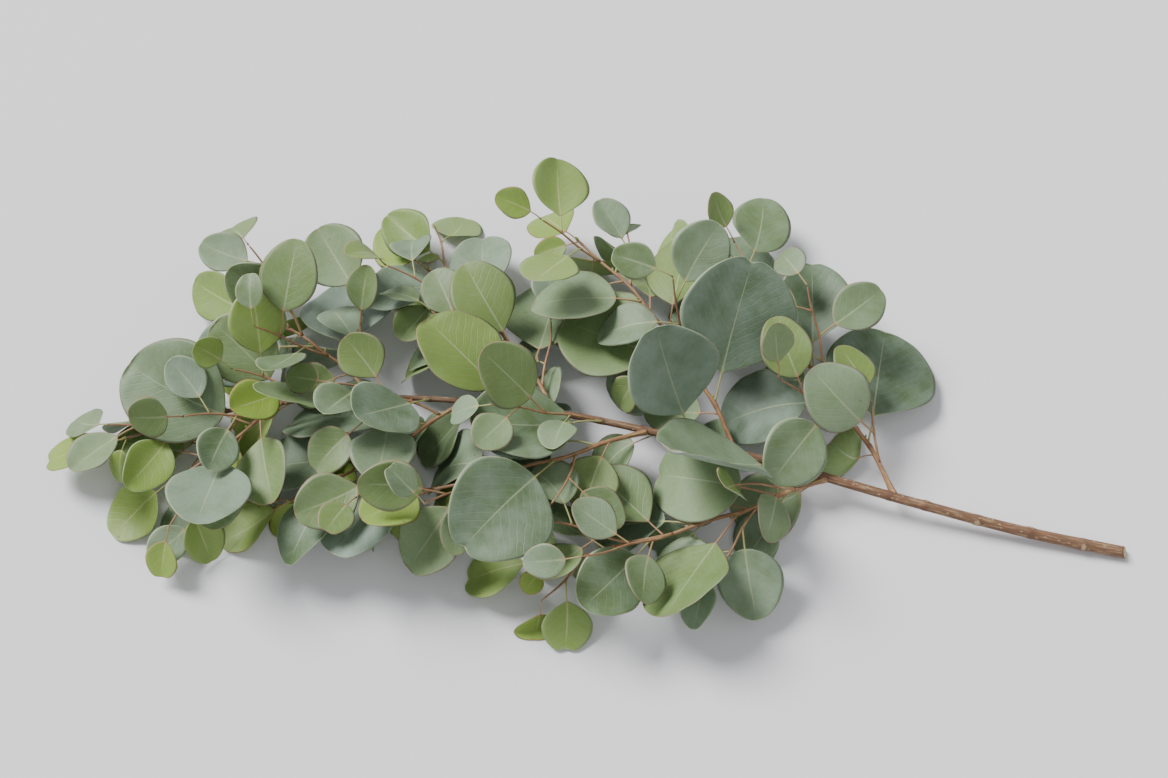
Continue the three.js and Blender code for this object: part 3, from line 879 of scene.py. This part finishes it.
def with_foot(lines, depth):
    """A leaf's lines with its foot pushed back into the bark's collar."""
    lines = lines.copy()
    lines[0] += unit(lines[0, 2] - lines[1, 2]) * depth
    return lines


leaf_rng = random.Random(LEAF_SEED)
calmed = 0
for name in leaf_names:
    young = slot_of[name] == "young_leaf"
    trait = traits(leaf_rng, 0.0)
    part = name.split("_")
    luck = leaf_rng.random()
    trait["youth"] = 0.25 + 0.5 * luck if young else max(0.0, 0.16 * int(part[-1]) - 0.25) * luck
    lines = with_foot(lines_of[name], FOOT_DEPTH)
    for waves in (1.0, 0.45, 0.0):
        shape = loft_leaf(lines, trait, waves)
        body = as_body(shape)
        if waves == 0 or not touches(body, crowd):
            break
        calmed += 1
    crowd.append(body)
    make_piece("blade_" + "_".join(part[1:]), shape, skin_of[slot_of[name]], slot_of[name], name)
print("leaves:", len(leaf_names), "calmed:", calmed, "points each:", len(shape["points"]))

# %% [markdown]
# ## The cut end
#
# The knife went across at a slant. Inside the thin bark is a hair of green, then pale fresh wood with
# faint rings, and a small brown pith in the middle. The face is made of rings that shrink towards the
# pith, a hair proud of the tube's own end, and its colours follow the distance from the pith.


# %% The cut face
def cut_wood():
    """Freshly cut young wood: pale, matt, ringed, with a green line under the bark."""
    material, tree = new_material("fresh_cut_wood")
    place = add(tree, "Attribute", {"attribute_name": "place"}, out="Vector")
    parts = add(tree, "SeparateXYZ", {}, {"Vector": place}).node.outputs
    share = parts["Z"]
    grain = add(tree, "TexNoise", {}, {"Vector": place, "Scale": 1 / 0.5, "Detail": 3.0})
    uneven = add(tree, "Math", TIMES, [grain, 3.0])
    rings = add(tree, "Math", SINE, [add(tree, "Math", TIMES_PLUS, [share, 34.0, uneven])])
    dark_ring = add(tree, "MapRange", SOFT_STEP, [rings, 0.9, -0.4, 1, 0])
    wood = add(tree, "Mix", LAYER, [dark_ring, linear("#C9B68A"), linear("#DCCDA4")])
    wood = painted(tree, wood, (grain, 0.4, linear("#B79F74")))
    pith = add(tree, "MapRange", SOFT_STEP, [share, 0.12, 0.22, 1, 0])
    wood = add(tree, "Mix", LAYER, [pith, wood, linear("#8B6A45")])
    for start, end, paint in ((0.8, 0.88, "#8C9A55"), (0.88, 0.94, "#6B4C36")):
        within = add(tree, "MapRange", SOFT_STEP, [share, start, end, 1, 0])
        outside = add(tree, "Math", MINUS, [1.0, within])
        wood = add(tree, "Mix", LAYER, [outside, wood, linear(paint)])
    bump = add(tree, "Bump", {}, {"Height": grain, "Strength": 0.5, "Distance": 0.2 * MM})
    finish = {"Base Color": wood, "Roughness": 0.8, "IOR": PLANT_IOR, "Normal": bump}
    face = add(tree, "BsdfPrincipled", {}, finish)
    add(tree, "OutputMaterial", {}, {"Surface": face})
    return material


rim = stem_shape["points"][:STEM_SIDES]
hub = rim.mean(axis=0)
outward = unit(stem_centres[0] - stem_centres[1])
steps = [(1.0, 0.0), (0.97, 0.22), (0.9, 0.3), (0.7, 0.26), (0.45, 0.28), (0.2, 0.24), (0.08, 0.12)]
face_points = np.concatenate([hub + (rim - hub) * share + outward * rise * MM for share, rise in steps])
face_points = np.concatenate([face_points, [hub + outward * 0.12 * MM, hub - outward * 0.3 * MM]])
shares = np.concatenate([np.full(STEM_SIDES, share) for share, _ in steps] + [[0.0, 0.0]])
middle_point = len(face_points) - 2
face_faces = [face[::-1] for face in quads(len(steps), STEM_SIDES)]
last = (len(steps) - 1) * STEM_SIDES
face_faces += [[last + (k + 1) % STEM_SIDES, last + k, middle_point] for k in range(STEM_SIDES)]
face_faces += [[k, (k + 1) % STEM_SIDES, middle_point + 1] for k in range(STEM_SIDES)]
flat = (face_points - hub) / MM
cut_shape = {
    "points": face_points, "faces": face_faces, "place": np.column_stack([flat[:, 1:], shares]),
    "kind": np.zeros((len(face_points), 3)), "side": np.ones(len(face_points)),
}
make_piece("cut_face", cut_shape, cut_wood(), "stem_bark")
print("cut face points:", len(face_points))

# %% [markdown]
# ## The smallest twigs and leaves
#
# Between the large leaves the branch carries short side twigs with two to four small leaves each, and
# a few small leaves straight on its shoots. They fill the branch, as the real one is filled. Each is
# tried in several directions from a seeded source, and is kept only where it runs into nothing, stays
# over the table and stands at most a little past the solids' box. A small leaf is walked out step by
# step, like the solids were: the stalk droops and rolls, and the blade bends over, aside and round itself.

# %% A small leaf's lines
ROOM = np.array([14, 9, 6]) * MM  # that a twig or leaf may stand past the solids' box
LIMIT_LOW = np.array(cad_low) - ROOM * [1, 1, 0] + [0, 0, 0.4 * MM]
LIMIT_HIGH = np.array(cad_high) + ROOM
TOUCH_DOWN = 6 * MM  # over the table, where a drooping blade starts to lie along it


def walk_leaf(place, leaf):
    """The five lines of a leaf that starts at a matrix's place along its x axis, upper side to z."""
    heading, centre, walked, lines = Quaternion(), Vector(), 0.0, []
    for knot in KNOTS:
        ring = max(0.0, knot - STALK_RINGS)
        share = (1 - math.cos(math.pi * ring / BLADE_RINGS)) / 2
        reach = leaf["stalk"] * min(knot, STALK_RINGS) / STALK_RINGS + share * leaf["length"]
        blade = knot > STALK_RINGS
        part = (reach - walked) / (leaf["length"] if blade else leaf["stalk"])
        turns = (leaf["arch"], leaf["sweep"], leaf["twist"]) if blade else (leaf["droop"], 0, leaf["roll"])
        for axis, degrees in zip(((0, 1, 0), (0, 0, 1), (1, 0, 0)), turns):
            heading = heading @ Quaternion(axis, math.radians(degrees * part))
        centre = centre + heading @ Vector((reach - walked, 0, 0))
        walked = reach
        sharpness = leaf["foot"] + (0.46 - leaf["foot"]) * share
        wide = max(0.0, math.sin(math.pi * share ** leaf["broadest"])) ** sharpness * leaf["width"] / 2
        wide = max(wide, 0.3 * MM) if ring < BLADE_RINGS else 0.0
        hollow = leaf["trough"] if blade else 0.0
        row = [centre + heading @ Vector((0, wide * u, hollow * wide * abs(u))) for u in STATIONS]
        lines.append([list(place @ point) for point in row])
    lines = np.array(lines)
    start = 0.5 * MM + TOUCH_DOWN
    z = lines[..., 2]
    settled = 0.5 * MM + TOUCH_DOWN * np.exp((np.minimum(z, start) - start) / TOUCH_DOWN)
    lines[..., 2] = np.where(z > start, z, settled)
    return lines


def facing(direction, point):
    """A matrix at a point with x along a direction and z as near to straight up as that allows."""
    x = Vector(direction).normalized()
    y = Vector((0, 0, 1)).cross(x).normalized()
    turn = Matrix((x, y, x.cross(y))).transposed().to_4x4()
    return Matrix.Translation(Vector(point)) @ turn


def sideways(along, degrees):
    """The direction at an angle round an axis: 0 is to its left and 90 is up."""
    left = unit(np.cross([0, 0, 1], along))
    return left * math.cos(math.radians(degrees)) + np.cross(along, left) * math.sin(math.radians(degrees))


print("room for twigs in mm:", [round(side / MM) for side in LIMIT_HIGH - LIMIT_LOW])

# %% [markdown]
# A small leaf is first tried as a coarse, slightly swollen skin, because a search for overlaps is quick
# on few faces. Only the try that fits is made again in full. The swelling keeps a little air round it.

# %% Find a small leaf its place
def beyond(shape, first):
    """A shape without its first points, which sit in the collar of what it grows on."""
    faces = [[i - first for i in face] for face in shape["faces"] if min(face) >= first]
    return {"points": shape["points"][first:], "faces": faces}


ROUGH = {"rows": (3, 8), "columns": 3, "swell": 0.5 * MM}
FULL = {"rows": (6, 22), "columns": 7}
COLLAR = 12  # points of a rough leaf that may sit in the collar: its first ring


def small_leaf(rng, foot, along, round_angle, radius, length, youth, bodies, tries=9):
    """A leaf on a twig, with its finished skin and its body, or None where nothing fits."""
    leaf = {
        "length": length, "width": length * rng.uniform(0.78, 0.98),
        "stalk": length * 0.16 + rng.uniform(4, 8) * MM,
        "foot": rng.uniform(0.55, 0.9), "broadest": rng.uniform(0.84, 1.02),
    }
    trait = traits(rng, youth)
    for attempt in range(tries):
        away = math.radians(rng.uniform(30, 62))
        out = sideways(along, round_angle + rng.uniform(-1, 1) * (14 + attempt * 9))
        place = facing(along * math.cos(away) + out * math.sin(away), foot + out * radius * 0.6)
        leaf.update(
            droop=rng.uniform(-8, 34), roll=rng.uniform(-36, 36), arch=-12 + 66 * rng.random() ** 1.7,
            sweep=rng.uniform(-16, 16), twist=rng.uniform(-24, 24), trough=rng.uniform(0.06, 0.26),
        )
        lines = walk_leaf(place, leaf)
        if np.any(lines <= LIMIT_LOW) or np.any(lines >= LIMIT_HIGH):
            continue
        body = as_body(beyond(loft_leaf(lines, trait, 0.6, **ROUGH), COLLAR))
        if not touches(body, bodies):
            return loft_leaf(lines, trait, 0.7, **FULL), body
    return None


points_in = [len(loft_leaf(lines, trait, 0.6, **how)["points"]) for how in (ROUGH, FULL)]
print("points in a rough leaf and in a full one:", points_in)

# %% [markdown]
# A side twig leaves its host at 30 to 56 degrees and carries a leaf at each kink and one on its end. It
# is grown several times and the try that carries most leaves is kept.

# %% Grow one side twig
TWIG_LENGTH = (34, 70)  # mm, and so are the leaf lengths below
TWIG_LEAF = (27, 43)
END_LEAF = (20, 30)
KINK_STEP = 17 * MM  # of a twig from one leaf to the next
TWIG_SIDES = 9


def twig_line(rng, foot, along, start, length):
    """A twig's centre line. It bends back towards the way its host grows and kinks at each leaf."""
    steps = max(2, round(length / KINK_STEP))
    heading, point, line = Vector(start), Vector(foot), [Vector(foot)]
    kink = rng.choice((-1, 1)) * 9
    for _ in range(steps):
        heading = (Quaternion((0, 0, 1), math.radians(kink)) @ heading + Vector(along) * 0.09).normalized()
        kink = -kink
        point = point + heading * (length / steps)
        line.append(point)
    return np.array([list(p) for p in line])


def host_at(host, share):
    """A place on a rod: its point, the way it grows there, and its radius."""
    centres, radii = rods[host]
    reach = distance_along(centres)
    at = np.clip([share * reach[-1] - MM, share * reach[-1]], 0, reach[-1])
    here, further = smooth(reach, centres, at)
    return further, unit(further - here), float(np.interp(share * reach[-1], reach, radii))


def side_twig(rng, host, share, round_angle, youth, tries=5):
    """A side twig with its small leaves: the try that got most of them, or None."""
    foot, along, radius = host_at(host, share)
    best = None
    for attempt in range(tries):
        length = rng.uniform(*TWIG_LENGTH) * MM
        away = math.radians(rng.uniform(30, 56))
        out = sideways(along, round_angle + rng.uniform(-1, 1) * (12 + 14 * attempt))
        start = along * math.cos(away) + out * math.sin(away)
        line = twig_line(rng, foot + out * radius * 0.5, along, start, length)
        thickness = np.linspace(0.85, 0.5, len(line)) * MM
        joints = [(where, out, 0.3 * MM, 1.6 * MM, 0.0) for where in distance_along(line)[1:-1]]
        collar = (0.0, out, 0.3 * MM, 2.0 * MM, 0.0)
        wood = tube(line, thickness, TWIG_SIDES, [collar, *joints], sample=2 * MM)
        hidden_rings = 2 + int(radius / (2 * MM))
        twig_body = as_body(beyond(wood, TWIG_SIDES * hidden_rings))
        outside = np.any(wood["points"] < LIMIT_LOW) or np.any(wood["points"] > LIMIT_HIGH)
        if outside or touches(twig_body, crowd):
            continue
        leaves, bodies = [], [twig_body]
        for i in range(len(line) - 1, 0, -1):
            at_end = i == len(line) - 1
            way = unit(line[i] - line[i - 1])
            side = rng.uniform(-30, 30) + (0 if i % 2 else 180) + (90 if at_end else 0)
            size = rng.uniform(*(END_LEAF if at_end else TWIG_LEAF)) * MM
            half = 0.0 if at_end else 0.5 * MM
            found = small_leaf(rng, line[i], way, side, half, size, youth, crowd + bodies)
            if found:
                leaves.append(found[0])
                bodies.append(found[1])
        if best is None or len(leaves) > len(best[1]):
            best = (wood, leaves, bodies)
        if len(leaves) >= len(line) - 1:
            break
    return best if best and len(best[1]) >= 2 else None


print("stem thickness halfway in mm:", round(2 * host_at("stem", 0.5)[2] / MM, 1))

# %% [markdown]
# ## Buds
#
# In the angle over a large leaf's stalk sits a bud, a pointed green egg 2 mm long, and the stem and each
# shoot end in one that is 3 mm long. They are short tubes whose thickness swells and runs out to a point.


# %% Make the buds
def bud(foot, way, length):
    """One bud, from its foot along its way."""
    share = np.array([0, 0.15, 0.35, 0.6, 0.85, 1.0])
    line = foot + np.outer(share * length, way)
    thickness = np.array([0.16, 0.27, 0.33, 0.26, 0.12, 0.03]) * length
    return tube(line, thickness, 8, [], sample=length / 9, blunt=False)


bud_shapes = []
for name in leaf_names:
    number = name.split("_")[1]
    host = "stem" if number == "stem" else f"shoot_{number}"
    centres, radii = rods[host]
    where, out = nearest_on(centres, foot_of[name])
    reach = distance_along(centres)
    if where > reach[-1] - 2 * MM:
        continue
    point, along, radius = host_at(host, min(1.0, (where + 1.6 * MM) / reach[-1]))
    bud_shapes.append(bud(point + out * radius * 0.8, unit(out * 0.8 + along), 2.2 * MM))
for host, (centres, radii) in rods.items():
    way = unit(unit(centres[-1] - centres[-2]) + np.array([0, 0, 0.9]))
    bud_shapes.append(bud(centres[-1] - way * 0.2 * MM, way, 3.2 * MM))
bud_skin = bark_skin(
    "green_bud_scale",
    {"tan": "#A3A45C", "red": "#B07A52", "old": "#9AA05A", "streak": "#858A48", "joint": "#8C6A42",
     "dot": "#C2C08A", "scar": "#A3A45C"},
    0.4,
    0.1,
)
make_piece("buds", joined(bud_shapes), bud_skin, "shoot_bark")
print("buds:", len(bud_shapes))

# %% [markdown]
# ## Filling the branch
#
# At several places along the stem and each shoot, seeded dice say whether a side twig is tried on one
# side, and a leaf is tried on the other. The outer quarter is the youngest, so its leaves take the softer
# skin. The small leaves of one shoot are joined by skin, which keeps the number of pieces small.

# %% Fill the branch
TWIG_SEED = 5
TWIG_CHANCE = 0.7
LONE_LEAF = (32, 48)  # mm, a leaf straight on the stem or a shoot
LAST_LEAF = (13, 20)  # mm, the one at the very end
YOUNGEST = 0.74  # of the way along, where the softer skin starts
twig_rng = random.Random(TWIG_SEED)
crowd += [as_body(shape) for shape in built.values()]
small_counts = {}
for host in rods:
    if host == "stem":
        shares = [0.275, 0.355, 0.445, 0.535, 0.625, 0.715, 0.805, 0.88, 0.97]
    else:
        joints = sum(name.startswith(f"leaf_{host[-1]}_") for name in leaf_names)
        shares = [(i + 0.62) / (joints + 0.45) for i in range(joints)] + [0.965]
    woods, fronds, tips = [], [], []
    for i, share in enumerate(shares):
        upward = twig_rng.uniform(-25, 65)
        side = upward if i % 2 else 180 - upward
        youth = 0.15 + 0.6 * share * twig_rng.random()
        wanted = share < 0.95 and twig_rng.random() < TWIG_CHANCE
        twig = side_twig(twig_rng, host, share, side, youth) if wanted else None
        keep_in = tips if share > YOUNGEST else fronds
        if twig:
            woods.append(twig[0])
            keep_in += twig[1]
            crowd += twig[2]
        foot, along, radius = host_at(host, min(1.0, share + 0.03))
        size = twig_rng.uniform(*(LAST_LEAF if share > 0.95 else LONE_LEAF)) * MM
        found = small_leaf(twig_rng, foot, along, side + 180, radius, size, youth, crowd, tries=14)
        if found:
            keep_in.append(found[0])
            crowd.append(found[1])
    name = host.replace("shoot_", "")
    for kind, shapes, skin, slot in (
        ("side_twigs", woods, shoot_bark, "shoot_bark"),
        ("small_leaves", fronds, grown_leaf, "leaf"),
        ("tip_leaves", tips, young_leaf, "young_leaf"),
    ):
        if shapes:
            make_piece(f"{kind}_{name}", joined(shapes), skin, slot)
    small_counts[name] = (len(woods), len(fronds) + len(tips))
print("side twigs and small leaves:", small_counts)
print("together:", [sum(count[k] for count in small_counts.values()) for k in (0, 1)])

# %% [markdown]
# ## Floor, light and camera
#
# The branch lies on a plain pale surface. A soft light falls on it from the upper left, as from a wide
# window, and a weaker one from the right, so that shadows are soft but the leaves still cast them on
# each other. Both come from far away, so the surface is as bright at its edge as under the branch.

# %% Floor
floor_mesh = bpy.data.meshes.new("floor")
corners = [(-20, -20, 0), (20, -20, 0), (20, 20, 0), (-20, 20, 0)]  # in m
floor_mesh.from_pydata(corners, [], [(0, 1, 2, 3)])
floor = bpy.data.objects.new("floor", floor_mesh)
bpy.context.scene.collection.objects.link(floor)
floor_material, floor_tree = new_material("matt_pale_board")
board = add(floor_tree, "BsdfPrincipled", {}, {"Base Color": linear("#E4E3E6"), "Roughness": 0.8})
add(floor_tree, "OutputMaterial", {}, {"Surface": board})
floor_mesh.materials.append(floor_material)
floor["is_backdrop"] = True
print("floor side in m:", corners[1][0] - corners[0][0])

# %% [markdown]
# A lamp near the branch would leave a bright pool on the surface. A sun lamp doesn't, because its light
# is the same everywhere, and a wide angle makes its shadows as soft as a window's. The world adds the
# light that a pale room throws back into the shadows.


# %% Light
WORLD_STRENGTH = 0.54


def soft_sun(name, towards, strength, spread):
    """Light that falls the same way everywhere, softened as by a window that wide, in degrees."""
    data = bpy.data.lights.new(name, "SUN")
    data.energy, data.angle = strength, math.radians(spread)
    light = bpy.data.objects.new(name, data)
    light.rotation_euler = Vector(towards).to_track_quat("-Z", "Y").to_euler()
    bpy.context.scene.collection.objects.link(light)


soft_sun("window_light", towards=(1.0, -0.75, -1.3), strength=5.3, spread=26)
soft_sun("fill_light", towards=(-1.2, 0.9, -1.5), strength=0.4, spread=70)
world = bpy.data.worlds.new("studio")
world.use_nodes = True
world.node_tree.nodes["Background"].inputs["Color"].default_value = linear("#F4F6FA")
world.node_tree.nodes["Background"].inputs["Strength"].default_value = WORLD_STRENGTH
bpy.context.scene.world = world
print("lamps:", len(bpy.data.lights))

# %% [markdown]
# The camera looks down at 64 degrees, steep enough to see the whole branch laid out and slanted enough
# to show that its leaves stand off the table. A 60 mm lens from 1.12 m away keeps its shape true.

# %% Camera
AZIMUTH, ELEVATION, LENS = 0, 64, 60
DISTANCE = 1.12  # m
camera_data = bpy.data.cameras.new("camera")
camera_data.lens = LENS
camera = bpy.data.objects.new("camera", camera_data)
bpy.context.scene.collection.objects.link(camera)
bpy.context.scene.camera = camera
low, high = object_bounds()
aim = (low + high) / 2
turn, tilt = math.radians(AZIMUTH), math.radians(ELEVATION)
back = Vector((math.sin(turn) * math.cos(tilt), -math.cos(turn) * math.cos(tilt), math.sin(tilt)))
camera.location = aim + back * DISTANCE
camera.rotation_mode = "QUATERNION"
camera.rotation_quaternion = (-back).to_track_quat("-Z", "Y")
print("camera at", [round(c, 3) for c in camera.location])

# %% [markdown]
# Last, the box of the finished branch is written beside the box of the solids, so that the two can be
# compared. It may be larger by the room that the twigs and small leaves were given.

# %% Sizes, and the end
low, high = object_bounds()
print("box in mm:", [[round(c / MM, 1) for c in corner] for corner in (cad_low, cad_high, low, high)])
